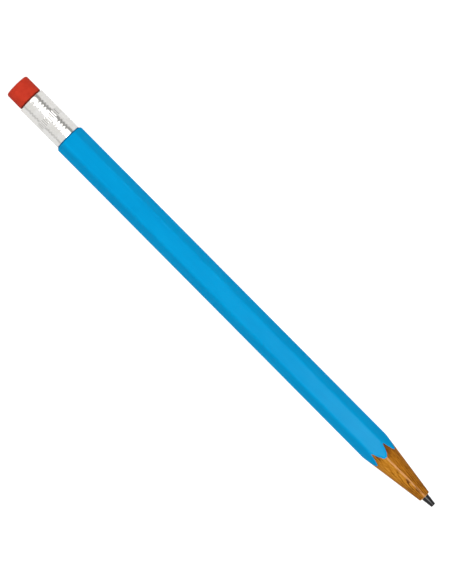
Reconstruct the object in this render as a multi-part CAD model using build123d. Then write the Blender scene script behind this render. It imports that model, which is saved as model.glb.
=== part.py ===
from build123d import *
import math
import os

# Push-button mechanical pencil dressed as a classic hexagonal wooden pencil.
# Millimetres. +X points along the pencil to its writing end and +Z is up. The pencil lies on one flat of
# its hexagon, with the origin under its middle. A station is the distance back from the writing end.

# Driving dimensions of the outside
OVERALL_LENGTH = 142.0
ACROSS_FLATS = 7.0
HEX_EDGE_RADIUS = 0.7
LACQUER = 0.14
SHOULDER_LACQUER = 0.05
CONE_HALF_ANGLE = 8.1
WOOD_END = 2.95
WOOD_END_RADIUS = 1.5
WOOD_END_ROUNDING = 0.3
SHOULDER = 124.26
SHOULDER_RADIUS = 3.38
FERRULE_LENGTH = 12.5
FERRULE_RADIUS = 3.45
FERRULE_WALL = 0.17
GUIDE_TIP_RADIUS = 0.62
GUIDE_FOOT_RADIUS = 0.98
GUIDE_TIP_ROUNDING = 0.1
ERASER_RADIUS = 3.25
ERASER_DOME_RADIUS = 25.0
ERASER_EDGE_ROUNDING = 0.6

# The ferrule's pattern: two groups of rings either side of a fluted band
RING_PITCH = 0.86
RINGS_PER_GROUP = 4
RING_GROUP_OFFSET = 3.2
GROOVE_DEPTH = 0.06
GROOVE_HALF_WIDTH = 0.22
RIDGE_RADIUS = 3.48
RIM_RADIUS = 3.5
RIM_WIDTH = 0.5
FLUTE_COUNT = 40
FLUTE_BAND_LENGTH = 2.1
FLUTE_RADIUS = 0.16
FLUTE_DEPTH = 0.05
FLUTE_TURN = 2.0

# Driving dimensions of the mechanism
LEAD_RADIUS = 0.35
LEAD_LENGTH = 60.0
PUSH_TRAVEL = 3.0
RING_TRAVEL = 0.8
TUBE_RADIUS = 2.2
TUBE_INNER_RADIUS = 1.9
RESERVOIR_RADIUS = 1.7
RESERVOIR_INNER_RADIUS = 1.4
JAW_COUNT = 3
SPARE_LEAD_FRONTS = (36.0, 41.0, 52.0)

# Fits: radial gaps between pieces
PRESS_GAP = 0.005
SLIDE_GAP = 0.03
LEAD_GAP = 0.01
STOP_GAP = 0.02

# Worked out
FRONT_X = OVERALL_LENGTH / 2
AXIS_Z = ACROSS_FLATS / 2
PENCIL_AXIS = Axis((0, 0, AXIS_Z), (1, 0, 0))
FERRULE_REAR = SHOULDER + FERRULE_LENGTH
FERRULE_INNER_RADIUS = FERRULE_RADIUS - FERRULE_WALL
CLEAR_OF_HEX = ACROSS_FLATS

# Stations inside the front of the barrel
LEAD_FRONT = 0.1
TIP_BORE_REAR = 3.5
REAR_BORE_FRONT = 4.2
HEAD_FRONT = 9.5
HEAD_REAR = 13.0
HEAD_RADIUS = 1.7
RETAINER_FRONT = 10.6
RETAINER_REAR = 12.8
RETAINER_RADIUS = 1.15
RING_STOP = 16.6
RING_FRONT = RING_STOP + RING_TRAVEL + STOP_GAP
RING_REAR = 19.6
SLEEVE_REAR = 22.0
JAW_FRONT = 16.6
JAW_ROOT = 24.0
JAW_CONE_FRONT = 17.0
JAW_CONE_REAR = RING_REAR
JAW_NOSE_RADIUS = 1.45
JAW_WAIST_RADIUS = 0.84
STEM_RADIUS = 0.95
STEM_BORE_RADIUS = 0.5
NOSE_FRONT = 30.0
NOSE_REAR = 33.0
LINER_STEP_RADIUS = 1.7

# Stations under the ferrule
TENON_REAR = SHOULDER + 4.7
HOLDER_FRONT = TENON_REAR + PUSH_TRAVEL + 0.05
HOLDER_FLOOR = HOLDER_FRONT + 0.8
HOLDER_REAR = FERRULE_REAR - 0.5
HOLDER_WALL = 0.3
SPIGOT_FRONT = HOLDER_FRONT - 4.0


def along_x(station):
    """X of a station."""
    return FRONT_X - station


def turned(*outline):
    """Solid of revolution about the pencil's axis; outline holds (station, radius) corners."""
    corners = [(along_x(station), AXIS_Z + radius) for station, radius in outline]
    face = make_face(Polyline(*corners, close=True))
    return revolve(Plane.XZ * face, PENCIL_AXIS)


def tube(front, rear, radius, inner_radius=0.0):
    """Plain tube between two stations, or a rod when it has no inner radius."""
    return turned((front, inner_radius), (front, radius), (rear, radius), (rear, inner_radius))


def cross_plane(station, up=0.0, side=0.0):
    """Plane across the pencil at a station, with +Z up the page and its normal towards the writing end."""
    return Plane(origin=(along_x(station), side, AXIS_Z + up), x_dir=(0, 1, 0), z_dir=(1, 0, 0))


def rounded(solid, station, radius, size):
    """The solid with its circular edge at this station and radius rounded."""
    circles = solid.edges().filter_by(GeomType.CIRCLE)
    here = [edge for edge in circles if abs(edge.arc_center.X - along_x(station)) < 1e-3]
    return fillet([edge for edge in here if abs(edge.radius - radius) < 1e-3], size)


# ---- Barrel -----------------------------------------------------------------------------------

def hex_bar(across_flats, edge_radius, end_radius):
    """Hexagonal bar lying on a flat, its corners turned off at 45 degrees at the rear shoulder."""
    hexagon = RegularPolygon(across_flats / 2, 6, major_radius=False)
    hexagon = fillet(hexagon.vertices(), edge_radius)
    bar = extrude(cross_plane(SHOULDER) * hexagon, SHOULDER)
    chamfer_front = SHOULDER - (CLEAR_OF_HEX - end_radius)
    envelope = turned(
        (0, 0), (0, CLEAR_OF_HEX), (chamfer_front, CLEAR_OF_HEX), (SHOULDER, end_radius), (SHOULDER, 0)
    )
    return bar & envelope


def sharpened(bar):
    """The bar cut to the long cone of a sharpened pencil, which leaves a scallop on each flat."""
    cone_length = (CLEAR_OF_HEX - WOOD_END_RADIUS) / math.tan(math.radians(CONE_HALF_ANGLE))
    cone_rear = WOOD_END + cone_length
    cutter = turned(
        (WOOD_END, 0), (WOOD_END, WOOD_END_RADIUS), (cone_rear, CLEAR_OF_HEX),
        (SHOULDER + 1, CLEAR_OF_HEX), (SHOULDER + 1, 0)
    )
    return bar & rounded(cutter, WOOD_END, WOOD_END_RADIUS, WOOD_END_ROUNDING)


def barrel_bores():
    """What the two slats are grooved for: the guide's stem and head, then the mechanism's tube."""
    stem = tube(0, HEAD_FRONT, GUIDE_FOOT_RADIUS + PRESS_GAP)
    head = tube(HEAD_FRONT, HEAD_REAR, HEAD_RADIUS + PRESS_GAP)
    mechanism = tube(HEAD_REAR, TENON_REAR + 1, TUBE_RADIUS + PRESS_GAP)
    return stem + head + mechanism


def barrel_slat(side):
    """Half of the wooden barrel; the glue joint is the upright plane through the axis."""
    bare = hex_bar(ACROSS_FLATS - 2 * LACQUER, HEX_EDGE_RADIUS - LACQUER, SHOULDER_RADIUS - SHOULDER_LACQUER)
    wood = sharpened(bare)
    tenon = tube(SHOULDER - 1, TENON_REAR, FERRULE_INNER_RADIUS - PRESS_GAP)
    half_width = ACROSS_FLATS
    half = Pos(0, side * half_width / 2, AXIS_Z) * Box(OVERALL_LENGTH, half_width, 2 * half_width)
    return (wood + tenon - barrel_bores()) & half


def lacquer_coat():
    """Skin of lacquer over the hexagon, thinner on its turned corners, cut back with the cone."""
    coated = sharpened(hex_bar(ACROSS_FLATS, HEX_EDGE_RADIUS, SHOULDER_RADIUS))
    skin = LACQUER - PRESS_GAP
    inner_end_radius = SHOULDER_RADIUS - SHOULDER_LACQUER + PRESS_GAP
    return coated - hex_bar(ACROSS_FLATS - 2 * skin, HEX_EDGE_RADIUS - skin, inner_end_radius)


# ---- Ferrule and push button --------------------------------------------------------------------

def ring_group(centre):
    """Raised band with its grooves, as outline corners from front to rear."""
    half_length = RING_PITCH * (RINGS_PER_GROUP - 1) / 2 + GROOVE_HALF_WIDTH
    corners = [(centre - half_length - GROOVE_HALF_WIDTH, FERRULE_RADIUS)]
    for ring in range(RINGS_PER_GROUP):
        groove = centre + RING_PITCH * (ring - (RINGS_PER_GROUP - 1) / 2)
        corners.append((groove - GROOVE_HALF_WIDTH, RIDGE_RADIUS))
        corners.append((groove, FERRULE_RADIUS - GROOVE_DEPTH))
        corners.append((groove + GROOVE_HALF_WIDTH, RIDGE_RADIUS))
    corners.append((centre + half_length + GROOVE_HALF_WIDTH, FERRULE_RADIUS))
    return corners


def ferrule():
    """Thin metal sleeve on the tenon: two groups of rolled rings, a fluted band and a rolled rear rim."""
    middle = SHOULDER + FERRULE_LENGTH / 2
    shell = turned(
        (SHOULDER, FERRULE_INNER_RADIUS),
        (SHOULDER, FERRULE_RADIUS),
        *ring_group(middle - RING_GROUP_OFFSET),
        *ring_group(middle + RING_GROUP_OFFSET),
        (FERRULE_REAR - RIM_WIDTH, FERRULE_RADIUS),
        (FERRULE_REAR - RIM_WIDTH / 2, RIM_RADIUS),
        (FERRULE_REAR, FERRULE_RADIUS),
        (FERRULE_REAR, FERRULE_INNER_RADIUS),
    )
    flute_axis = FERRULE_RADIUS - FLUTE_DEPTH + FLUTE_RADIUS
    first = cross_plane(middle + FLUTE_BAND_LENGTH / 2, up=flute_axis) * Circle(FLUTE_RADIUS)
    flute = extrude(first, FLUTE_BAND_LENGTH)
    step = 360 / FLUTE_COUNT
    turns = [FLUTE_TURN + step * number for number in range(FLUTE_COUNT)]
    return shell - [flute.rotate(PENCIL_AXIS, turn) for turn in turns]


def eraser():
    """Rubber cap of the push button: a plug in the holder's cup and a wider head that is seen."""
    plug_radius = ERASER_RADIUS - HOLDER_WALL
    blank = turned(
        (HOLDER_FLOOR, 0), (HOLDER_FLOOR, plug_radius), (HOLDER_REAR, plug_radius),
        (HOLDER_REAR, ERASER_RADIUS), (OVERALL_LENGTH, ERASER_RADIUS), (OVERALL_LENGTH, 0)
    )
    dome = Pos(along_x(OVERALL_LENGTH - ERASER_DOME_RADIUS), 0, AXIS_Z) * Sphere(ERASER_DOME_RADIUS)
    domed = blank & dome
    worn_edge = domed.edges().filter_by(GeomType.CIRCLE).sort_by(Axis.X)[0]
    return fillet(worn_edge, ERASER_EDGE_ROUNDING)


def eraser_holder():
    """Cup that holds the eraser and slides in the ferrule, with a hollow spigot in the reservoir."""
    spigot_radius = RESERVOIR_INNER_RADIUS - PRESS_GAP
    bore_radius = 1.05
    cup_radius = FERRULE_INNER_RADIUS - SLIDE_GAP
    cup_inner_radius = ERASER_RADIUS - HOLDER_WALL + LEAD_GAP
    return turned(
        (SPIGOT_FRONT, bore_radius), (SPIGOT_FRONT, spigot_radius), (HOLDER_FRONT, spigot_radius),
        (HOLDER_FRONT, cup_radius), (HOLDER_REAR, cup_radius), (HOLDER_REAR, cup_inner_radius),
        (HOLDER_FLOOR, cup_inner_radius), (HOLDER_FLOOR, bore_radius)
    )


def lead_reservoir():
    """Tube for spare leads; it carries the push from the holder to the collet's tail."""
    socket_radius = STEM_RADIUS + PRESS_GAP
    return turned(
        (NOSE_FRONT, socket_radius), (NOSE_FRONT, RESERVOIR_RADIUS), (HOLDER_FRONT, RESERVOIR_RADIUS),
        (HOLDER_FRONT, RESERVOIR_INNER_RADIUS), (NOSE_REAR, RESERVOIR_INNER_RADIUS),
        (NOSE_REAR, socket_radius),
    )


# ---- Lead guide and barrel tube -------------------------------------------------------------------

def lead_guide():
    """Tapered tip, with a stem glued into the cone and a head that holds the retainer."""
    tip_bore_radius = LEAD_RADIUS + 2 * LEAD_GAP
    rear_bore_radius = 0.6
    body = turned(
        (0, tip_bore_radius), (0, GUIDE_TIP_RADIUS), (WOOD_END, GUIDE_FOOT_RADIUS),
        (HEAD_FRONT, GUIDE_FOOT_RADIUS), (HEAD_FRONT, HEAD_RADIUS), (HEAD_REAR, HEAD_RADIUS),
        (HEAD_REAR, RETAINER_RADIUS + PRESS_GAP), (RETAINER_FRONT, RETAINER_RADIUS + PRESS_GAP),
        (RETAINER_FRONT, rear_bore_radius), (REAR_BORE_FRONT, rear_bore_radius),
        (TIP_BORE_REAR, tip_bore_radius),
    )
    return rounded(body, 0, GUIDE_TIP_RADIUS, GUIDE_TIP_ROUNDING)


def lead_retainer():
    """Rubber ring with a waisted bore; it holds the lead while the jaws open."""
    middle = (RETAINER_FRONT + RETAINER_REAR) / 2
    half_waist = 0.2
    waist_radius = LEAD_RADIUS + LEAD_GAP
    mouth_radius = 0.6
    return turned(
        (RETAINER_FRONT, mouth_radius), (RETAINER_FRONT, RETAINER_RADIUS), (RETAINER_REAR, RETAINER_RADIUS),
        (RETAINER_REAR, mouth_radius), (middle + half_waist, waist_radius),
        (middle - half_waist, waist_radius),
    )


def barrel_liner():
    """Tube along the barrel; the step near its front stops the clutch ring."""
    return turned(
        (HEAD_REAR, LINER_STEP_RADIUS), (HEAD_REAR, TUBE_RADIUS), (TENON_REAR, TUBE_RADIUS),
        (TENON_REAR, TUBE_INNER_RADIUS), (RING_STOP, TUBE_INNER_RADIUS), (RING_STOP, LINER_STEP_RADIUS)
    )


def chuck_sleeve():
    """Collar pressed into the liner: the ring rests on its front and the spring on its rear."""
    bore_radius = STEM_RADIUS + 0.05
    return tube(RING_REAR, SLEEVE_REAR, TUBE_INNER_RADIUS - PRESS_GAP, bore_radius)


# ---- Clutch -----------------------------------------------------------------------------------------

def cone_radius(station):
    """Radius of the closed jaws' outside cone at a station."""
    share = (JAW_CONE_REAR - station) / (JAW_CONE_REAR - JAW_CONE_FRONT)
    return STEM_RADIUS + (JAW_NOSE_RADIUS - STEM_RADIUS) * share


def clutch_ring():
    """Brass ring whose cone squeezes the jaws shut; it rides forward with them at each click."""
    outer_radius = TUBE_INNER_RADIUS - SLIDE_GAP
    return turned(
        (RING_FRONT, cone_radius(RING_FRONT) + LEAD_GAP), (RING_FRONT, outer_radius),
        (RING_REAR, outer_radius), (RING_REAR, cone_radius(RING_REAR) + LEAD_GAP)
    )


def chuck_stem():
    """Hollow tail of the collet, pressed into the reservoir's nose."""
    return tube(JAW_ROOT, NOSE_REAR, STEM_RADIUS, STEM_BORE_RADIUS)


def chuck_jaw(number):
    """One sprung finger of the collet: a thin waist that bends, a cone and a nose that grips."""
    slot = 0.25
    nose_bevel = 0.2
    grip_radius = LEAD_RADIUS + LEAD_GAP
    grip_rear = 18.4
    relief_front = 18.6
    waist_front = JAW_CONE_REAR + 0.15
    fingers = turned(
        (JAW_FRONT, grip_radius), (JAW_FRONT, JAW_NOSE_RADIUS - nose_bevel),
        (JAW_CONE_FRONT, JAW_NOSE_RADIUS), (JAW_CONE_REAR, STEM_RADIUS),
        (waist_front, JAW_WAIST_RADIUS), (JAW_ROOT, JAW_WAIST_RADIUS),
        (JAW_ROOT, STEM_BORE_RADIUS), (relief_front, STEM_BORE_RADIUS), (grip_rear, grip_radius)
    )
    half_angle = math.radians(180 / JAW_COUNT)
    apex = slot / 2 / math.sin(half_angle)
    reach = 2 * JAW_NOSE_RADIUS
    spread = reach * math.tan(half_angle)
    wedge = make_face(Polyline((0, apex), (spread, apex + reach), (-spread, apex + reach), close=True))
    sector = extrude(cross_plane(JAW_ROOT) * wedge, JAW_ROOT - JAW_FRONT)
    return (fingers & sector).rotate(PENCIL_AXIS, 360 / JAW_COUNT * (number - 1))


def return_spring():
    """Coil spring between the sleeve and the reservoir's nose."""
    wire_radius = 0.15
    coil_radius = 1.4
    turns = 10
    end_clearance = 0.02
    end_gap = wire_radius + end_clearance
    length = NOSE_FRONT - SLEEVE_REAR - 2 * end_gap
    rear = (along_x(NOSE_FRONT - end_gap), 0, AXIS_Z)
    coil = Helix(length / turns, length, coil_radius, center=rear, direction=(1, 0, 0))
    section = Plane(origin=coil @ 0, z_dir=coil % 0) * Circle(wire_radius)
    return sweep(section, path=coil, is_frenet=True)


# ---- Leads ------------------------------------------------------------------------------------------

def writing_lead():
    """The lead in use, its end just inside the guide."""
    return tube(LEAD_FRONT, LEAD_FRONT + LEAD_LENGTH, LEAD_RADIUS)


def spare_lead(number):
    """A spare lead that lies on the reservoir's floor, beside the others."""
    rear = SPARE_LEAD_FRONTS[number - 1] + LEAD_LENGTH
    lie_radius = RESERVOIR_INNER_RADIUS - LEAD_RADIUS - LEAD_GAP
    lie_angle = math.radians(45 * (number - 2))
    centre = cross_plane(rear, -lie_radius * math.cos(lie_angle), lie_radius * math.sin(lie_angle))
    return extrude(centre * Circle(LEAD_RADIUS), LEAD_LENGTH)


PIECES = {
    "barrel_slat_left": barrel_slat(1),
    "barrel_slat_right": barrel_slat(-1),
    "lacquer_coat": lacquer_coat(),
    "ferrule": ferrule(),
    "eraser": eraser(),
    "eraser_holder": eraser_holder(),
    "lead_reservoir": lead_reservoir(),
    "lead_guide": lead_guide(),
    "lead_retainer": lead_retainer(),
    "barrel_liner": barrel_liner(),
    "chuck_sleeve": chuck_sleeve(),
    "clutch_ring": clutch_ring(),
    "chuck_stem": chuck_stem(),
    "return_spring": return_spring(),
    "writing_lead": writing_lead(),
}
for number in range(1, JAW_COUNT + 1):
    PIECES[f"chuck_jaw_{number}"] = chuck_jaw(number)
for number in range(1, len(SPARE_LEAD_FRONTS) + 1):
    PIECES[f"spare_lead_{number}"] = spare_lead(number)

os.makedirs("parts", exist_ok=True)
for name, piece in PIECES.items():
    export_step(piece, f"parts/{name}.step")
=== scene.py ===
import math

import bmesh
import bpy
from mathutils import Matrix, Vector, noise


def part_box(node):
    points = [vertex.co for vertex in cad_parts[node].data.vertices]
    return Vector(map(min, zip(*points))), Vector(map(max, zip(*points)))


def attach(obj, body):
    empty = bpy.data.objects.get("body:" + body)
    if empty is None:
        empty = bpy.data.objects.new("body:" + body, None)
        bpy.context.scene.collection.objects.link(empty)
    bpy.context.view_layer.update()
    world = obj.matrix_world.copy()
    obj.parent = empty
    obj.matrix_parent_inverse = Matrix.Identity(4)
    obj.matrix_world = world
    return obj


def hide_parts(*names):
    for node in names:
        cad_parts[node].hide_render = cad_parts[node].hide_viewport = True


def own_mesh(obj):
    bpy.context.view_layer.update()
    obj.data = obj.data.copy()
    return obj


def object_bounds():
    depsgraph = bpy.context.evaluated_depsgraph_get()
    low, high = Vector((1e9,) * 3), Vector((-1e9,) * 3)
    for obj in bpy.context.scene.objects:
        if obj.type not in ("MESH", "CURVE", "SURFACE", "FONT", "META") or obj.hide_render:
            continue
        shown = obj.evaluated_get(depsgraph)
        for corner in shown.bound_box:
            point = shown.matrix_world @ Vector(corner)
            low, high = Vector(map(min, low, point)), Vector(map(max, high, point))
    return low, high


# A push-button mechanical pencil dressed as a classic hexagonal wooden pencil, lying on a white table.
# Shapes are written in millimetres as (station, radius): the distance back from the writing end and
# the distance from the pencil's axis. Angle 0 is straight up and a positive angle turns towards +Y.

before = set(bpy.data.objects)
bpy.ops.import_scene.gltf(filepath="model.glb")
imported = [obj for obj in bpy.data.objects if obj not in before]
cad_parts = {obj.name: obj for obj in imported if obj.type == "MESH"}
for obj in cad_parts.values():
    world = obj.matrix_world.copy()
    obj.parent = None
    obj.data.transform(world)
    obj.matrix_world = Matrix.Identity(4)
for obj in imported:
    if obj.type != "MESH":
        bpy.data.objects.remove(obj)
CAD_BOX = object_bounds()

MM = 0.001
TIP_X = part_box("lead_guide")[1].x
AXIS_Z = sum(corner.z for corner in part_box("lead_guide")) / 2
SIXTH = math.pi / 3


def front_of(node):
    """Station of a CAD node's front end."""
    return (TIP_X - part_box(node)[1].x) / MM


def rear_of(node):
    """Station of a CAD node's rear end."""
    return (TIP_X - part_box(node)[0].x) / MM


def radius_of(node):
    """Outside radius of a CAD node."""
    low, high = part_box(node)
    return (high.z - low.z) / 2 / MM


# Sizes read from the frame
WOOD_END = front_of("barrel_slat_left")
SHOULDER = rear_of("lacquer_coat")
TENON_REAR = rear_of("barrel_slat_left")
HALF_FLATS = radius_of("lacquer_coat")
WOOD_HALF_FLATS = radius_of("barrel_slat_left")
LACQUER = HALF_FLATS - WOOD_HALF_FLATS
FERRULE_MIDDLE = (front_of("ferrule") + rear_of("ferrule")) / 2
FERRULE_REAR = rear_of("ferrule")
PENCIL_REAR = rear_of("eraser")
ERASER_RADIUS = radius_of("eraser")
LINER_RADIUS = radius_of("barrel_liner")
HEAD_REAR = rear_of("lead_guide")
HEAD_RADIUS = radius_of("lead_guide")

# Sizes repeated from the CAD source
HEX_EDGE_RADIUS = 0.7
CONE_SLOPE = math.tan(math.radians(8.1))
WOOD_END_RADIUS = 1.5
SHOULDER_RADIUS = 3.38
SHOULDER_LACQUER = 0.05
FERRULE_RADIUS = 3.45
FERRULE_INNER_RADIUS = 3.28
HEAD_FRONT = 9.5
GUIDE_TIP_RADIUS = 0.62
GUIDE_FOOT_RADIUS = 0.98
GUIDE_BORE_RADIUS = 0.37
TIP_BORE_REAR = 3.5
REAR_BORE_FRONT = 4.2
REAR_BORE_RADIUS = 0.6
RETAINER_FRONT = 10.6
RETAINER_SEAT_RADIUS = 1.155
HOLDER_WALL = 0.3
PRESS_GAP = 0.005
RING_PITCH = 0.86
RINGS_PER_GROUP = 4
RING_GROUP_OFFSET = 3.2
RIDGE_RADIUS = 3.48
GROOVE_RADIUS = 3.39
GROOVE_HALF_WIDTH = 0.22
FLUTE_COUNT = 40
# One flute's angle. In the CAD it is 2 degrees, which turns the other way, and they are 9 apart.
FLUTE_TURN = math.radians(7.0)
FLUTE_DEPTH = 0.05
FLUTE_BAND_HALF = 1.05
RIM_RADIUS = 3.5
RIM_WIDTH = 0.5

# Sizes of the fine shapes added here
ERASER_NECK = 0.42
SHOULDER_EDGE = 0.4
COLUMNS_PER_SIDE = 72


# ---- Mesh building ------------------------------------------------------------------------------

def place(station, radius, angle):
    """Point of the row frame at a station, a distance from the axis and an angle round it."""
    return Vector((
        TIP_X - station * MM,
        radius * MM * math.sin(angle),
        AXIS_Z + radius * MM * math.cos(angle),
    ))


def eased(corners, steps=5):
    """Closed outline of (station, radius, rounding) corners with every corner rounded."""
    points = []
    for i, (station, radius, rounding) in enumerate(corners):
        here = Vector((station, radius))
        if rounding == 0:
            points.append((station, radius))
            continue
        back = Vector(corners[i - 1][:2]) - here
        ahead = Vector(corners[(i + 1) % len(corners)][:2]) - here
        turn = math.pi - back.angle(ahead)
        setback = min(rounding * math.tan(turn / 2), 0.45 * back.length, 0.45 * ahead.length)
        start = here + back.normalized() * setback
        end = here + ahead.normalized() * setback
        for step in range(steps + 1):
            t = step / steps
            point = start * (1 - t) ** 2 + here * 2 * t * (1 - t) + end * t ** 2
            points.append((point.x, point.y))
    return points


def woven(name, columns, wrap=True, sharp_angle=40.0):
    """Closed mesh through columns of points; each column is a closed loop. Unwrapped ends are capped."""
    mesh = bmesh.new()
    rows = [[mesh.verts.new(point) for point in column] for column in columns]
    for i in range(len(rows) if wrap else len(rows) - 1):
        near = rows[i]
        far = rows[(i + 1) % len(rows)]
        for j in range(len(near)):
            k = (j + 1) % len(near)
            mesh.faces.new((near[j], near[k], far[k], far[j]))
    if not wrap:
        mesh.faces.new(rows[0])
        mesh.faces.new(rows[-1])
    merge_distance = 1e-8
    bmesh.ops.remove_doubles(mesh, verts=mesh.verts, dist=merge_distance)
    bmesh.ops.dissolve_degenerate(mesh, edges=mesh.edges, dist=merge_distance)
    bmesh.ops.recalc_face_normals(mesh, faces=mesh.faces)
    data = bpy.data.meshes.new(name)
    mesh.to_mesh(data)
    mesh.free()
    data.shade_smooth()
    data.set_sharp_from_angle(angle=math.radians(sharp_angle))
    piece = bpy.data.objects.new(name, data)
    bpy.context.scene.collection.objects.link(piece)
    return piece


def lathe(name, outline, columns, relief=None, sharp_angle=40.0):
    """Turned piece; relief(station, radius, angle) gives the radius where the surface isn't truly round."""
    loops = []
    for i in range(columns):
        angle = 2 * math.pi * i / columns
        loop = []
        for station, radius in outline:
            shaped = relief(station, radius, angle) if relief else radius
            loop.append(place(station, shaped, angle))
        loops.append(loop)
    return woven(name, loops, sharp_angle=sharp_angle)


def spread(start, end, count):
    """Evenly spaced values from start to end, both included."""
    return [start + (end - start) * i / (count - 1) for i in range(count)]


def smooth_step(value, low, high):
    """0 below low and 1 above high, with a smooth rise between."""
    t = min(1.0, max(0.0, (value - low) / (high - low)))
    return t * t * (3 - 2 * t)


def hex_radius(angle, half_flats, edge_radius):
    """Distance from the axis to a hexagon with rounded edges, one flat facing straight up."""
    off_flat = abs((angle + SIXTH / 2) % SIXTH - SIXTH / 2)
    core = half_flats - edge_radius
    if half_flats * math.tan(off_flat) <= core * math.tan(SIXTH / 2):
        return half_flats / math.cos(off_flat)
    corner = core / math.cos(SIXTH / 2)
    gap = SIXTH / 2 - off_flat
    return corner * math.cos(gap) + math.sqrt(edge_radius ** 2 - (corner * math.sin(gap)) ** 2)


def cone_station(radius):
    """Station where the sharpened cone has a radius."""
    return WOOD_END + (radius - WOOD_END_RADIUS) / CONE_SLOPE


# ---- Materials ----------------------------------------------------------------------------------

class Nodes:
    """Short calls for building a node tree."""

    def __init__(self, tree):
        self.tree = tree

    def plug(self, socket, value):
        """Links an output to a socket, or sets the socket's own value."""
        if isinstance(value, bpy.types.NodeSocket):
            self.tree.links.new(value, socket)
        else:
            socket.default_value = value

    def add(self, kind, inputs=(), **settings):
        """Adds a node, sets its properties, and plugs its inputs by name or position."""
        made = self.tree.nodes.new(kind)
        for key, value in settings.items():
            setattr(made, key, value)
        for key, value in dict(inputs).items():
            self.plug(made.inputs[key], value)
        return made

    def math(self, operation, *values):
        """One arithmetic node."""
        return self.add("ShaderNodeMath", dict(enumerate(values)), operation=operation).outputs[0]

    def total(self, *terms):
        """Sum of (value, weight) pairs and plain numbers."""
        so_far = 0.0
        for term in terms:
            value, weight = term if isinstance(term, tuple) else (1.0, term)
            so_far = self.math("MULTIPLY_ADD", value, weight, so_far)
        return so_far

    def fade(self, value, low, high):
        """0 where value is at low and 1 where it is at high, with a smooth change between."""
        inputs = {0: value, 1: low, 2: high}
        return self.add("ShaderNodeMapRange", inputs, interpolation_type="SMOOTHSTEP").outputs[0]

    def band(self, value, low, high, soft):
        """1 where value lies between low and high, with soft edges."""
        rise = self.fade(value, low - soft, low + soft)
        fall = self.fade(value, high + soft, high - soft)
        return self.math("MULTIPLY", rise, fall)


class Shader(Nodes):
    """A material built round one Principled shader, whose textures are measured in millimetres."""

    def __init__(self, name, **constants):
        self.material = bpy.data.materials.new(name)
        self.material.use_nodes = True
        super().__init__(self.material.node_tree)
        self.principled = self.tree.nodes["Principled BSDF"]
        for socket, value in constants.items():
            self.set(socket.replace("_", " "), value)

    def set(self, socket, value):
        """Sets or links one of the Principled shader's sockets."""
        self.plug(self.principled.inputs[socket], value)

    def place_mm(self, stretch=(1.0, 1.0, 1.0), shift=(0.0, 0.0, 0.0)):
        """The object's own coordinates in millimetres, stretched and then shifted."""
        coords = self.add("ShaderNodeTexCoord").outputs["Object"]
        scale = tuple(value / MM for value in stretch)
        inputs = {"Vector": coords, "Scale": scale, "Location": shift}
        return self.add("ShaderNodeMapping", inputs).outputs[0]

    def from_axis(self):
        """X, Y and the height above the pencil's axis, in millimetres."""
        spot = self.place_mm(shift=(0.0, 0.0, -AXIS_Z / MM))
        return self.add("ShaderNodeSeparateXYZ", {0: spot}).outputs

    def station(self):
        """Distance back from the writing end, in millimetres."""
        spot = self.add("ShaderNodeSeparateXYZ", {0: self.place_mm()})
        return self.math("SUBTRACT", TIP_X / MM, spot.outputs["X"])

    def noise(self, stretch, shift=(0.0, 0.0, 0.0), detail=3.0, rough=0.55, distortion=0.0):
        """Fractal noise from 0 to 1; stretch is in cycles per millimetre."""
        inputs = {
            "Vector": self.place_mm(stretch, shift), "Scale": 1.0,
            "Detail": detail, "Roughness": rough, "Distortion": distortion,
        }
        return self.add("ShaderNodeTexNoise", inputs).outputs["Fac"]

    def ramp(self, value, *stops):
        """Colour ramp through (position, colour) stops."""
        made = self.add("ShaderNodeValToRGB", {"Fac": value})
        elements = made.color_ramp.elements
        while len(elements) < len(stops):
            elements.new(0.5)
        for element, (position, colour) in zip(elements, stops):
            element.position = position
            element.color = (*colour, 1.0)
        return made.outputs["Color"]

    def mix(self, share, first, second):
        """Mixes two colours."""
        inputs = {0: share, 6: first, 7: second}
        padded = {key: (*value, 1.0) if isinstance(value, tuple) else value for key, value in inputs.items()}
        return self.add("ShaderNodeMix", padded, data_type="RGBA").outputs[2]

    def bump(self, height, depth_mm, strength=1.0):
        """Bumps the surface by a height from 0 to 1 that stands for depth_mm."""
        inputs = {"Strength": strength, "Distance": depth_mm * MM, "Height": height}
        self.set("Normal", self.add("ShaderNodeBump", inputs).outputs[0])


def srgb(red, green, blue):
    """Linear colour of an 8-bit screen colour."""
    def linear(value):
        share = value / 255
        return share / 12.92 if share <= 0.04045 else ((share + 0.055) / 1.055) ** 2.4
    return linear(red), linear(green), linear(blue)


def give(piece, material):
    """Puts one material on a piece."""
    piece.data.materials.clear()
    piece.data.materials.append(material)


def lacquer_material():
    """Sky-blue lacquer with faint clouding and a thin, scuffed gloss; a painted shade darkens it at the
    shoulder.
    """
    shader = Shader("lacquer_blue", Coat_Weight=0.05, Coat_Roughness=0.14)
    shader.set("Specular IOR Level", 0.0)
    clouds = shader.noise((0.08, 0.5, 0.5), detail=5.0)
    tone = shader.ramp(clouds, (0.3, srgb(1, 133, 187)), (0.7, srgb(2, 141, 194)))
    # Painted shade: the blue turns darker over the last few tenths of a millimetre before the shoulder, next
    # to the ferrule.
    shoulder_shade = shader.fade(shader.station(), SHOULDER - SHOULDER_EDGE, SHOULDER - 0.15)
    shader.set("Base Color", shader.mix(shoulder_shade, tone, srgb(2, 88, 132)))
    scuffs = shader.noise((0.15, 3.0, 3.0), shift=(3.0, 0.0, 0.0), detail=6.0, rough=0.7)
    shader.set("Roughness", shader.total(0.3, (scuffs, 0.25)))
    shader.bump(shader.noise((0.9, 1.4, 1.4), detail=2.0), 0.006, 0.5)
    return shader.material


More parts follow.
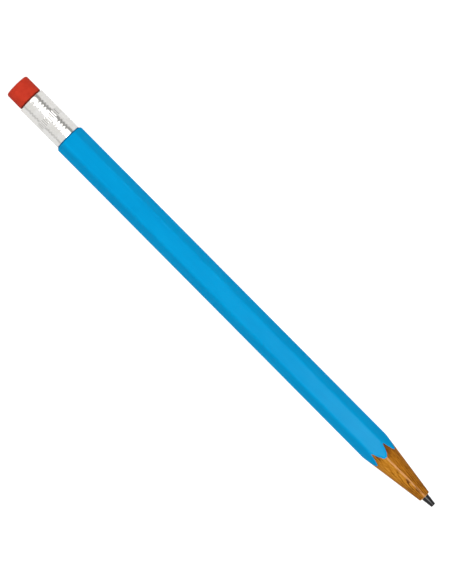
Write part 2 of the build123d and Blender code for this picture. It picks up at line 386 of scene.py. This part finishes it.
def wood_material(name, heart, shift, ring_strength, front_stain, pale, mid, dark):
    """Sharpened cedar: growth rings round heart, cut by the cone, fine fibres, and a pale line along the
    cone's top that is partly the glue seam and partly a painted highlight.
    """
    shader = Shader(name)
    shader.set("Specular IOR Level", 0.04)
    pale_line_offset = 0.08
    _, across, up = shader.from_axis()
    side = shader.math("SUBTRACT", across, heart[0])
    height = shader.math("SUBTRACT", up, heart[1])
    reach = shader.math("SQRT", shader.total((side, side), (height, height)))
    warp = shader.noise((0.16, 0.6, 0.6), shift, detail=4.0)
    wave = shader.math("SINE", shader.total(3.9, (reach, 14.0), (warp, 6.0)))
    late = shader.fade(wave, 0.2, 1.0)
    towards_tip = shader.fade(shader.station(), 12.0, 8.0)
    rings = shader.math("MULTIPLY", late, shader.total(0.25, (towards_tip, 0.75)))
    fibre = shader.noise((0.16, 3.6, 3.6), shift, detail=6.0, rough=0.75)
    streak = shader.noise((0.1, 1.4, 1.4), tuple(-value for value in shift), detail=3.0, distortion=0.3)
    stain = shader.fade(shader.station(), 9.0, 3.5)
    under_edge = shader.fade(shader.station(), 15.5, 18.5)
    grain = shader.total(
        -0.3, (fibre, 1.4), (streak, 0.55), (rings, -ring_strength), (stain, -front_stain),
        (under_edge, -0.25),
    )
    colour = shader.ramp(grain, (0.3, dark), (0.55, mid), (0.85, pale))
    # Pale line along the top of the cone: partly the glue seam, partly a painted highlight where the
    # overhead light glints.
    off_pale_line = shader.math("ABSOLUTE", shader.math("SUBTRACT", across, pale_line_offset))
    seam_and_highlight = shader.math("MULTIPLY", shader.fade(off_pale_line, 0.36, 0.08), shader.fade(fibre, 0.3, 0.6))
    colour = shader.mix(seam_and_highlight, colour, srgb(198, 144, 88))
    worn_end = shader.fade(shader.station(), WOOD_END + 0.3, WOOD_END)
    shader.set("Base Color", shader.mix(shader.total((worn_end, 0.7)), colour, srgb(188, 150, 108)))
    shader.set("Roughness", shader.total(0.45, (fibre, 0.25)))
    shader.bump(shader.total((fibre, 1.0), (late, 0.4)), 0.02, 0.6)
    return shader.material


def ferrule_material():
    """Bright rolled aluminium with drawn lines round it, and painted shade darkening the bottoms of its
    flutes.
    """
    shader = Shader("ferrule_aluminium", Metallic=1.0)
    film = shader.noise((0.5, 0.5, 0.5), detail=4.0)
    bright = shader.ramp(film, (0.3, srgb(232, 230, 225)), (0.7, srgb(240, 239, 236)))
    along, across, up = shader.from_axis()
    reach = shader.math("SQRT", shader.total((across, across), (up, up)))
    middle = TIP_X / MM - FERRULE_MIDDLE
    in_flutes = shader.band(along, middle - FLUTE_BAND_HALF, middle + FLUTE_BAND_HALF, 0.05)
    depth = shader.fade(reach, FERRULE_RADIUS - 0.03, FERRULE_RADIUS - FLUTE_DEPTH)
    # Painted shade: the bottoms of the flutes are darkened, and made rougher, where their hollows fall into
    # shade.
    flute_shade = shader.math("MULTIPLY", depth, shader.total((in_flutes, 0.4)))
    shader.set("Base Color", shader.mix(flute_shade, bright, srgb(120, 114, 104)))
    lines = shader.noise((14.0, 0.6, 0.6), detail=4.0, rough=0.7)
    shader.set("Roughness", shader.total(0.1, (lines, 0.14), (flute_shade, 0.2)))
    shader.bump(lines, 0.003, 0.5)
    return shader.material


def eraser_material():
    """Matt red eraser rubber with fine crumb texture, and painted shade darkening its neck where it meets
    the ferrule.
    """
    shader = Shader("eraser_red")
    shader.set("Specular IOR Level", 0.1)
    blotch = shader.noise((0.6, 0.6, 0.6), detail=5.0)
    tone = shader.ramp(blotch, (0.3, srgb(170, 43, 25)), (0.7, srgb(184, 52, 32)))
    specks = shader.noise((9.0, 9.0, 9.0), detail=2.0)
    tone = shader.mix(shader.fade(specks, 0.66, 0.74), tone, srgb(134, 34, 24))
    # Painted shade: the neck next to the ferrule's rim is darkened to a dark maroon.
    neck = shader.band(shader.station(), FERRULE_REAR - ERASER_NECK, FERRULE_REAR + ERASER_NECK, 0.15)
    shader.set("Base Color", shader.mix(shader.total((neck, 0.85)), tone, srgb(84, 24, 12)))
    shader.set("Roughness", shader.total(0.6, (blotch, 0.25)))
    shader.bump(shader.noise((6.0, 6.0, 6.0), detail=6.0, rough=0.7), 0.03, 0.5)
    return shader.material


def gloss_black_material():
    """Glossy black lead guide with faint turning lines and handling marks."""
    shader = Shader("guide_black")
    shader.set("Specular IOR Level", 0.4)
    smears = shader.noise((0.8, 2.0, 2.0), detail=4.0)
    shader.set("Base Color", shader.ramp(smears, (0.3, srgb(5, 3, 4)), (0.7, srgb(11, 8, 10))))
    shader.set("Roughness", shader.total(0.06, (smears, 0.1)))
    shader.bump(shader.noise((10.0, 1.0, 1.0), detail=2.0), 0.002, 0.3)
    return shader.material


def plain_material(name, low, high, roughness, scale=1.5, **constants):
    """Moulded or turned inner part: two close tones in soft noise, with roughness and bump to match."""
    shader = Shader(name, **constants)
    cloud = shader.noise((scale, scale, scale), detail=4.0)
    shader.set("Base Color", shader.ramp(cloud, (0.3, low), (0.7, high)))
    shader.set("Roughness", shader.total(roughness - 0.08, (cloud, 0.16)))
    shader.bump(shader.noise((scale * 5, scale * 5, scale * 5), detail=3.0), 0.01, 0.4)
    return shader.material


# ---- Pieces -------------------------------------------------------------------------------------

def lacquer_loop(angle):
    """The lacquer's section at one angle, from its rear edge to its slightly chipped front and back."""
    chip_depth = 0.3
    outer = hex_radius(angle, HALF_FLATS, HEX_EDGE_RADIUS)
    inner = hex_radius(angle, WOOD_HALF_FLATS + PRESS_GAP, HEX_EDGE_RADIUS - LACQUER)
    rear_inner = SHOULDER_RADIUS - SHOULDER_LACQUER + PRESS_GAP
    flaking = noise.noise(Vector((7.0, 16 * math.sin(angle), 16 * math.cos(angle))))
    chip = chip_depth * smooth_step(flaking, -0.1, 0.6)
    return eased([
        (SHOULDER, rear_inner, 0),
        (SHOULDER, SHOULDER_RADIUS, 0.02),
        (SHOULDER - (outer - SHOULDER_RADIUS), outer, 0.15),
        (cone_station(outer), outer, 1.5),
        (cone_station(inner) + chip, inner, 0.02),
        (SHOULDER - (inner - rear_inner), inner, 0),
    ])


def make_lacquer():
    """Coat of lacquer: softly rounded hexagon edges, and a scalloped front edge where the cone cuts it."""
    body_rows = 120
    columns = []
    for i in range(6 * COLUMNS_PER_SIDE):
        angle = 2 * math.pi * i / (6 * COLUMNS_PER_SIDE)
        loop = lacquer_loop(angle)
        longest = max(range(1, len(loop)), key=lambda k: loop[k - 1][0] - loop[k][0])
        rows = spread(loop[longest - 1][0], loop[longest][0], body_rows)[1:-1]
        outer = loop[longest][1]
        loop[longest:longest] = [(station, outer) for station in rows]
        columns.append([
            place(station, radius + lacquer_wave(station, radius, angle, outer), angle)
            for station, radius in loop
        ])
    return woven("lacquer", columns)


def lacquer_wave(station, radius, angle, outer):
    """Slow unevenness of the brushed-on coat, on its outside only, never above the nominal flat."""
    if radius < outer - LACQUER / 2:
        return 0.0
    depth = 0.02
    spot = Vector((station * 0.11, 3 * math.sin(angle), 3 * math.cos(angle)))
    return -depth * (0.5 + 0.5 * noise.noise(spot))


def slat_loop(angle, seam_depth, fibres):
    """A slat's section at one angle: along the outside to the tenon's end and back along its bores."""
    surface = hex_radius(angle, WOOD_HALF_FLATS, HEX_EDGE_RADIUS - LACQUER)
    cone_rows = 150
    end_rounding = 0.36
    face = [
        (WOOD_END, GUIDE_FOOT_RADIUS + PRESS_GAP, 0),
        (WOOD_END, WOOD_END_RADIUS, end_rounding),
        (cone_station(surface), surface, 0),
    ]
    outline = eased(face + [(SHOULDER, surface, 0), (SHOULDER, 0, 0)], steps=8)[:-2]
    front_turn = outline[-2]
    rows = spread(front_turn[0], outline[-1][0], cone_rows)[1:-1]
    slope = (outline[-1][1] - front_turn[1]) / (outline[-1][0] - front_turn[0])
    outline[-1:-1] = [(row, front_turn[1] + slope * (row - front_turn[0])) for row in rows]
    shaped = []
    for station, radius in outline:
        keep = smooth_step(outline[-1][0] - station, 0.05, 0.9)
        on_face = radius > WOOD_END_RADIUS - end_rounding
        cut = (fibres(station, radius, angle) + seam_depth) * keep if on_face else 0.0
        shaped.append((station, radius - cut))
    rear_radius = SHOULDER_RADIUS - SHOULDER_LACQUER
    bore = LINER_RADIUS + PRESS_GAP
    head = HEAD_RADIUS + PRESS_GAP
    return shaped + [
        (SHOULDER - (surface - rear_radius), surface),
        (SHOULDER, rear_radius),
        (SHOULDER, FERRULE_INNER_RADIUS - PRESS_GAP),
        (TENON_REAR, FERRULE_INNER_RADIUS - PRESS_GAP),
        (TENON_REAR, bore),
        (HEAD_REAR, bore),
        (HEAD_REAR, head),
        (HEAD_FRONT, head),
        (HEAD_FRONT, GUIDE_FOOT_RADIUS + PRESS_GAP),
    ]


def wood_fibres(seed):
    """Depth of the open pores and worn early wood on the cone, in millimetres."""
    pore_depth = 0.018
    hollow_depth = 0.012

    def depth(station, radius, angle):
        across = radius * math.sin(angle)
        up = radius * math.cos(angle)
        pores = noise.noise(Vector((station * 0.35 + seed, across * 5, up * 5)))
        hollows = noise.noise(Vector((station * 0.12 + seed, across * 1.2, up * 1.2)))
        return pore_depth * smooth_step(pores, 0.05, 0.55) + hollow_depth * (0.5 + 0.5 * hollows)

    return depth


def make_slat(name, side, seed):
    """Half of the wooden barrel; its two edges at the glue joint are eased to a hairline."""
    count = 3 * COLUMNS_PER_SIDE
    edge_depth = 0.03
    fibres = wood_fibres(seed)
    columns = []
    for i in range(count + 1):
        angle = side * math.pi * i / count
        edge = min(i, count - i)
        seam_depth = edge_depth if edge == 0 else 0.0
        loop = slat_loop(angle, seam_depth, fibres)
        columns.append([place(station, radius, angle) for station, radius in loop])
    return woven(name, columns, wrap=False)


def ring_group(middle):
    """Corners of one group of rolled rings: a raised band with narrow grooves."""
    half_length = RING_PITCH * (RINGS_PER_GROUP - 1) / 2 + GROOVE_HALF_WIDTH
    corners = [(middle - half_length - GROOVE_HALF_WIDTH, FERRULE_RADIUS, 0.1)]
    for ring in range(RINGS_PER_GROUP):
        groove = middle + RING_PITCH * (ring - (RINGS_PER_GROUP - 1) / 2)
        corners.append((groove - GROOVE_HALF_WIDTH, RIDGE_RADIUS, 0.3))
        corners.append((groove, GROOVE_RADIUS, 0.15))
        corners.append((groove + GROOVE_HALF_WIDTH, RIDGE_RADIUS, 0.3))
    corners.append((middle + half_length + GROOVE_HALF_WIDTH, FERRULE_RADIUS, 0.1))
    return corners


def make_ferrule():
    """Rolled aluminium ferrule: two groups of rings, pressed flutes between them and a curled rim."""
    columns_per_flute = 10
    band_rows = 26
    band_end = FLUTE_BAND_HALF + 0.12
    rim = FERRULE_REAR - RIM_WIDTH
    outline = eased([
        (SHOULDER, FERRULE_INNER_RADIUS, 0.03),
        (SHOULDER, FERRULE_RADIUS, 0.1),
        *ring_group(FERRULE_MIDDLE - RING_GROUP_OFFSET),
        *ring_group(FERRULE_MIDDLE + RING_GROUP_OFFSET),
        (rim, FERRULE_RADIUS, 0.15),
        (rim + 0.2, RIM_RADIUS, 0.15),
        (FERRULE_REAR, RIM_RADIUS - 0.03, 0.12),
        (FERRULE_REAR, FERRULE_INNER_RADIUS, 0.06),
    ])
    after = next(i for i, point in enumerate(outline) if point[0] > FERRULE_MIDDLE)
    rows = spread(FERRULE_MIDDLE - band_end, FERRULE_MIDDLE + band_end, band_rows)
    outline[after:after] = [(station, FERRULE_RADIUS) for station in rows]

    def relief(station, radius, angle):
        if radius < FERRULE_INNER_RADIUS + 0.06:
            return radius
        off_middle = abs(station - FERRULE_MIDDLE)
        in_band = 1 - smooth_step(off_middle, FLUTE_BAND_HALF - 0.2, FLUTE_BAND_HALF)
        flute = 0.5 + 0.5 * math.cos(FLUTE_COUNT * (angle - FLUTE_TURN))
        return radius - FLUTE_DEPTH * in_band * flute

    return lathe("ferrule_sleeve", outline, FLUTE_COUNT * columns_per_flute, relief, sharp_angle=50.0)


def make_eraser():
    """Domed rubber cap with a worn edge, a neck where the ferrule has rubbed it, and its plug."""
    plug_radius = ERASER_RADIUS - HOLDER_WALL
    plug_front = front_of("eraser")
    head_front = rear_of("eraser_holder")
    dome_rise = 0.2
    dome_rows = 14
    neck_radius = ERASER_RADIUS - 0.22
    wear_depth = 0.02
    wall = eased([
        (plug_front, 0, 0),
        (plug_front, plug_radius, 0.15),
        (head_front, plug_radius, 0),
        (head_front, neck_radius, 0.05),
        (FERRULE_REAR + 0.05, neck_radius, 0.1),
        (FERRULE_REAR + ERASER_NECK, ERASER_RADIUS, 0.2),
        (PENCIL_REAR - dome_rise, ERASER_RADIUS, 0.55),
        (PENCIL_REAR, 0, 0),
    ], steps=8)
    edge = wall[-2]
    dome = []
    for i in range(1, dome_rows):
        share = 1 - i / dome_rows
        rise = (PENCIL_REAR - edge[0]) * (1 - share ** 2)
        dome.append((edge[0] + rise, edge[1] * share))
    side_start = max(i for i, point in enumerate(wall) if point[0] < FERRULE_REAR + 1.0)
    side_rows = spread(wall[side_start][0], wall[side_start + 1][0], 16)[1:-1]
    outline = (
        wall[:side_start + 1] + [(row, ERASER_RADIUS) for row in side_rows] + wall[side_start + 1:-1]
        + dome + [wall[-1]]
    )

    def relief(station, radius, angle):
        if station < head_front or radius < 1e-6:
            return radius
        spot = Vector((station * 0.8, radius * math.sin(angle), radius * math.cos(angle)))
        return radius - wear_depth * (0.5 + 0.5 * noise.noise(spot)) * min(1.0, radius)

    return lathe("eraser_cap", outline, 160, relief)


def make_guide():
    """Black tapered lead guide with a rounded mouth, and its stem and head inside the cone."""
    outline = eased([
        (0, GUIDE_BORE_RADIUS, 0.04),
        (0, GUIDE_TIP_RADIUS, 0.14),
        (WOOD_END, GUIDE_FOOT_RADIUS, 0.02),
        (HEAD_FRONT, GUIDE_FOOT_RADIUS, 0),
        (HEAD_FRONT, HEAD_RADIUS, 0.05),
        (HEAD_REAR, HEAD_RADIUS, 0.1),
        (HEAD_REAR, RETAINER_SEAT_RADIUS, 0.05),
        (RETAINER_FRONT, RETAINER_SEAT_RADIUS, 0),
        (RETAINER_FRONT, REAR_BORE_RADIUS, 0.05),
        (REAR_BORE_FRONT, REAR_BORE_RADIUS, 0.1),
        (TIP_BORE_REAR, GUIDE_BORE_RADIUS, 0.1),
    ], steps=6)
    return lathe("guide_tip", outline, 96)


def make_spring():
    """Return spring: an open coil whose end turns are closed up."""
    wire_radius = 0.15
    coil_radius = radius_of("return_spring") - wire_radius
    front = front_of("return_spring") + wire_radius
    rear = rear_of("return_spring") - wire_radius
    turns = 10
    closed_pitch = 0.32
    steps_per_turn = 36
    sides = 12
    centres = []
    for i in range(turns * steps_per_turn + 1):
        turn = i / steps_per_turn
        opened = smooth_step(turn, 0.6, 1.6) * smooth_step(turns - turn, 0.6, 1.6)
        centres.append((turn, closed_pitch + (1 - closed_pitch) * opened))
    total = sum(pitch for _, pitch in centres[1:])
    loops = []
    station = front
    for turn, pitch in centres:
        angle = 2 * math.pi * turn
        loop = []
        for side in range(sides):
            around = 2 * math.pi * side / sides
            offset = wire_radius * math.cos(around)
            loop.append(place(station + wire_radius * math.sin(around), coil_radius + offset, angle))
        loops.append(loop)
        station += (rear - front) * pitch / total
    return woven("spring_coil", loops, wrap=False, sharp_angle=60.0)


# ---- Assembly -----------------------------------------------------------------------------------

def fit_out(piece, body, slot, material, *nodes):
    """Gives a piece its body and material, and lets it stand for its CAD nodes. The slot is not used."""
    give(piece, material)
    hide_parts(*nodes)
    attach(piece, body)


def build_outside():
    """The pieces that the eye meets."""
    fit_out(make_lacquer(), "barrel", "lacquer", lacquer_material(), "lacquer_coat")
    left = wood_material(
        "wood_left", (7.7, -6.4), (3.1, 0.7, 5.3), 0.3, 0.03,
        srgb(170, 108, 26), srgb(132, 78, 13), srgb(84, 46, 8),
    )
    right = wood_material(
        "wood_right", (-0.26, 1.82), (11.4, 2.9, 1.6), 0.5, 0.18,
        srgb(188, 129, 44), srgb(161, 101, 21), srgb(94, 52, 10),
    )
    fit_out(make_slat("slat_left", 1, 4.0), "barrel", "wood", left, "barrel_slat_left")
    fit_out(make_slat("slat_right", -1, 9.0), "barrel", "wood", right, "barrel_slat_right")
    fit_out(make_ferrule(), "barrel", "ferrule_metal", ferrule_material(), "ferrule")
    fit_out(make_eraser(), "eraser", "eraser_rubber", eraser_material(), "eraser")
    fit_out(make_guide(), "barrel", "guide_black", gloss_black_material(), "lead_guide")


def build_spring():
    """The coil spring, which shortens as the button is pushed."""
    steel = plain_material("spring_steel", srgb(176, 178, 182), srgb(198, 199, 201), 0.25, Metallic=1.0)
    coil = make_spring()
    fit_out(coil, "barrel", "spring_steel", steel, "return_spring")
    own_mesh(coil)


def dress_inner_nodes():
    """Materials for the CAD nodes that are shown as they are."""
    brass = plain_material("brass_turned", srgb(205, 165, 88), srgb(222, 186, 110), 0.22, Metallic=1.0)
    graphite = plain_material(
        "graphite_lead", srgb(38, 38, 42), srgb(58, 58, 63), 0.4, scale=4.0, Metallic=0.35
    )
    looks = {
        "lead_retainer": plain_material("retainer_rubber", srgb(30, 30, 32), srgb(42, 42, 45), 0.75),
        "barrel_liner": plain_material("liner_plastic", srgb(214, 214, 209), srgb(226, 226, 222), 0.42),
        "chuck_sleeve": plain_material("sleeve_acetal", srgb(48, 50, 55), srgb(62, 65, 70), 0.38),
        "lead_reservoir": plain_material("reservoir_plastic", srgb(186, 196, 203), srgb(200, 209, 215), 0.3),
        "eraser_holder": plain_material("holder_plastic", srgb(228, 228, 224), srgb(240, 240, 236), 0.35),
        "clutch_ring": brass,
        "chuck_stem": brass,
        "writing_lead": graphite,
    }
    for number in (1, 2, 3):
        looks[f"chuck_jaw_{number}"] = brass
        looks[f"spare_lead_{number}"] = graphite
    for node, material in looks.items():
        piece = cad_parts[node]
        give(piece, material)


# ---- Stage --------------------------------------------------------------------------------------

def make_floor():
    """Plain white table top, lit so evenly that only the contact shadow shows."""
    half = 1.5
    albedo = 0.66
    albedo_drop_seen = 0.31
    glow_seen = 0.78
    corners = [(-half, -half, 0), (half, -half, 0), (half, half, 0), (-half, half, 0)]
    data = bpy.data.meshes.new("floor")
    data.from_pydata(corners, [], [(0, 1, 2, 3)])
    floor = bpy.data.objects.new("floor", data)
    bpy.context.scene.collection.objects.link(floor)
    shader = Shader("floor_white", Roughness=0.9)
    shader.set("Specular IOR Level", 0.0)
    seen = shader.add("ShaderNodeLightPath").outputs["Is Camera Ray"]
    shade = shader.total(albedo, (seen, -albedo_drop_seen))
    grey = shader.add("ShaderNodeCombineColor", {0: shade, 1: shade, 2: shade}).outputs[0]
    shader.set("Base Color", grey)
    shader.set("Emission Color", (1.0, 1.0, 1.0, 1.0))
    shader.set("Emission Strength", shader.math("MULTIPLY", seen, glow_seen))
    give(floor, shader.material)


def make_world():
    """White studio, by the angles across and along the pencil that its light comes from.

    A soft key light leans towards +Y with a dimmer gap beside it, and a small light stands towards the
    writing end. The -Y side is a little darker, and the camera and its stand keep a patch overhead dark.
    """
    world = bpy.data.worlds.new("studio")
    world.use_nodes = True
    bpy.context.scene.world = world
    nodes = Nodes(world.node_tree)
    background = world.node_tree.nodes["Background"]
    background.inputs["Color"].default_value = (1.0, 1.0, 1.0, 1.0)
    spot = nodes.add("ShaderNodeSeparateXYZ", {0: nodes.add("ShaderNodeTexCoord").outputs["Generated"]})
    x, y, z = spot.outputs
    degrees = 180 / math.pi
    across = nodes.math("MULTIPLY", nodes.math("ARCTAN2", y, z), degrees)
    along = nodes.math("MULTIPLY", nodes.math("ARCSINE", x), degrees)
    off_middle = nodes.math("ABSOLUTE", along)
    leaning = nodes.total((across, 1.0), (off_middle, 0.45))
    key_sides = nodes.math("MULTIPLY", nodes.fade(across, -7.0, 1.0), nodes.fade(leaning, 48.0, 40.0))
    key = nodes.math("MULTIPLY", key_sides, nodes.band(along, -45.0, 45.0, 12.0))
    gap = nodes.math("MULTIPLY", nodes.fade(leaning, 43.0, 51.0), nodes.fade(across, 75.0, 65.0))
    dark_side = nodes.band(across, -105.0, -75.0, 7.0)
    tip_across = nodes.band(across, -6.0, 6.0, 2.0)
    tip_along = nodes.band(along, 2.8, 22.5, 1.0)
    tip_light = nodes.math("MULTIPLY", tip_across, tip_along)
    camera_across = nodes.band(across, -6.0, 4.0, 2.0)
    camera_along = nodes.band(along, -9.0, 0.6, 1.2)
    camera_shade = nodes.math("MULTIPLY", camera_across, camera_along)
    level = nodes.total(0.875, (key, 1.18), (gap, -0.54), (dark_side, -0.32), (tip_light, 14.0))
    level = nodes.math("MULTIPLY", level, nodes.total(1.0, (camera_shade, -0.9)))
    seen = nodes.add("ShaderNodeLightPath").outputs["Is Camera Ray"]
    unseen = nodes.math("SUBTRACT", 1.0, seen)
    nodes.plug(background.inputs["Strength"], nodes.math("MULTIPLY_ADD", level, unseen, seen))


def make_camera():
    """Camera three quarters of a metre above the pencil, looking straight down on it."""
    distance = 0.75
    picture_height = 584
    shown_height = 0.13998
    pixels_right = 1.29
    pixels_up = 3.05
    sensor = 36.0
    turn = math.radians(45.21)
    low, high = CAD_BOX
    middle = (low + high) / 2
    data = bpy.data.cameras.new("camera")
    data.sensor_width = sensor
    data.lens = sensor * distance / shown_height
    pixel = shown_height / picture_height
    right = Vector((math.cos(turn), math.sin(turn), 0))
    up = Vector((-math.sin(turn), math.cos(turn), 0))
    offset = right * (pixels_right * pixel) + up * (pixels_up * pixel)
    camera = bpy.data.objects.new("camera", data)
    camera.matrix_world = (
        Matrix.Translation((middle.x + offset.x, middle.y + offset.y, AXIS_Z + distance))
        @ Matrix.Rotation(turn, 4, "Z")
    )
    data.clip_start = distance / 50
    data.clip_end = distance * 20
    bpy.context.scene.collection.objects.link(camera)
    bpy.context.scene.camera = camera


make_camera()
make_world()
make_floor()
build_outside()
build_spring()
dress_inner_nodes()

bpy.context.scene.view_settings.view_transform = "Standard"
bpy.context.view_layer.update()
